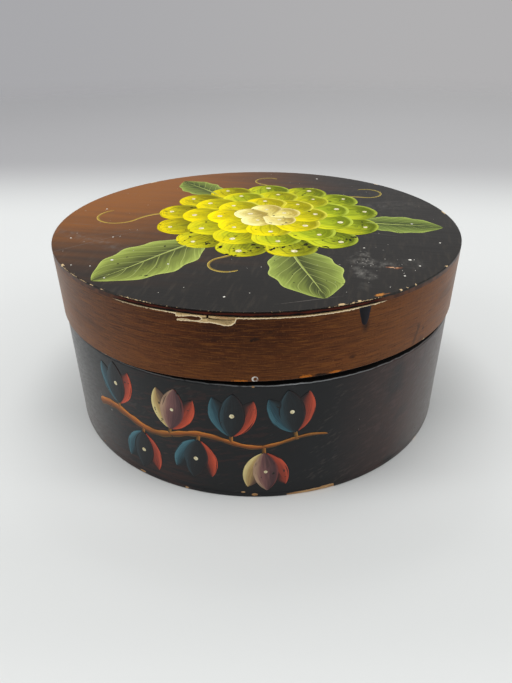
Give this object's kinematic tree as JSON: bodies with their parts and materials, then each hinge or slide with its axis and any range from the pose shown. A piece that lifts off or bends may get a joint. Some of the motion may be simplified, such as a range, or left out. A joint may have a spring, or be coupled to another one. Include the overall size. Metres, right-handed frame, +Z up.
{
  "type": "round painted wooden box with a lift-off lid",
  "caption": "Round bentwood box with an inner collar and a lift-off lid, black and brown lacquer, painted flower, leaves and buds.",
  "frame": {"origin": "centre of the box on the surface it stands on", "axes": "+Z up through the lid, -Y towards the painted front, +X to the right of the front"},
  "size_m": [0.2, 0.2, 0.0934],
  "materials": {
    "black_lacquer": "satin lacquer over painted wood",
    "brown_lacquer": "satin lacquer over brushed brown paint",
    "lid_lacquer": "satin lacquer over painted wood",
    "bare_wood": "bare planed wood inside, dark lacquer on the collar's outside",
    "leaf_paint": "brushed craft paint under lacquer",
    "leaf_vein_paint": "brushed craft paint under lacquer",
    "olive_petal_paint": "brushed craft paint under lacquer",
    "green_petal_paint": "brushed craft paint under lacquer",
    "yellow_petal_paint": "brushed craft paint under lacquer",
    "cream_petal_paint": "brushed craft paint under lacquer",
    "dot_paint": "raised dot of craft paint",
    "gold_paint": "thin brushed line of craft paint",
    "twig_paint": "brushed craft paint under lacquer",
    "teal_paint": "brushed craft paint under lacquer",
    "red_paint": "brushed craft paint under lacquer",
    "dark_paint": "brushed craft paint under lacquer",
    "mauve_paint": "brushed craft paint under lacquer"
  },
  "bodies": {
    "body": {"base_board": "black_lacquer", "body_hoop": "black_lacquer", "liner_hoop": "bare_wood", "body_twig": "twig_paint", "body_teal_petals": "teal_paint", "body_red_petals": "red_paint", "body_dark_petals": "dark_paint", "body_mauve_petals": "mauve_paint", "body_cream_petals": "cream_petal_paint", "body_dots": "dot_paint"},
    "lid": {"lid_hoop": "brown_lacquer", "lid_board": "lid_lacquer", "lid_leaves": "leaf_paint", "lid_leaf_veins": "leaf_vein_paint", "lid_outer_petals": "olive_petal_paint", "lid_middle_petals": "green_petal_paint", "lid_inner_petals": "yellow_petal_paint", "lid_heart_petals": "cream_petal_paint", "lid_dots": "dot_paint", "lid_tendrils": "gold_paint"}
  },
  "joints": [
    {"name": "lid_lift", "type": "slide", "parent": "body", "child": "lid", "axis": [0, 0, 1], "range_m": [0, 0.1]}
  ]
}
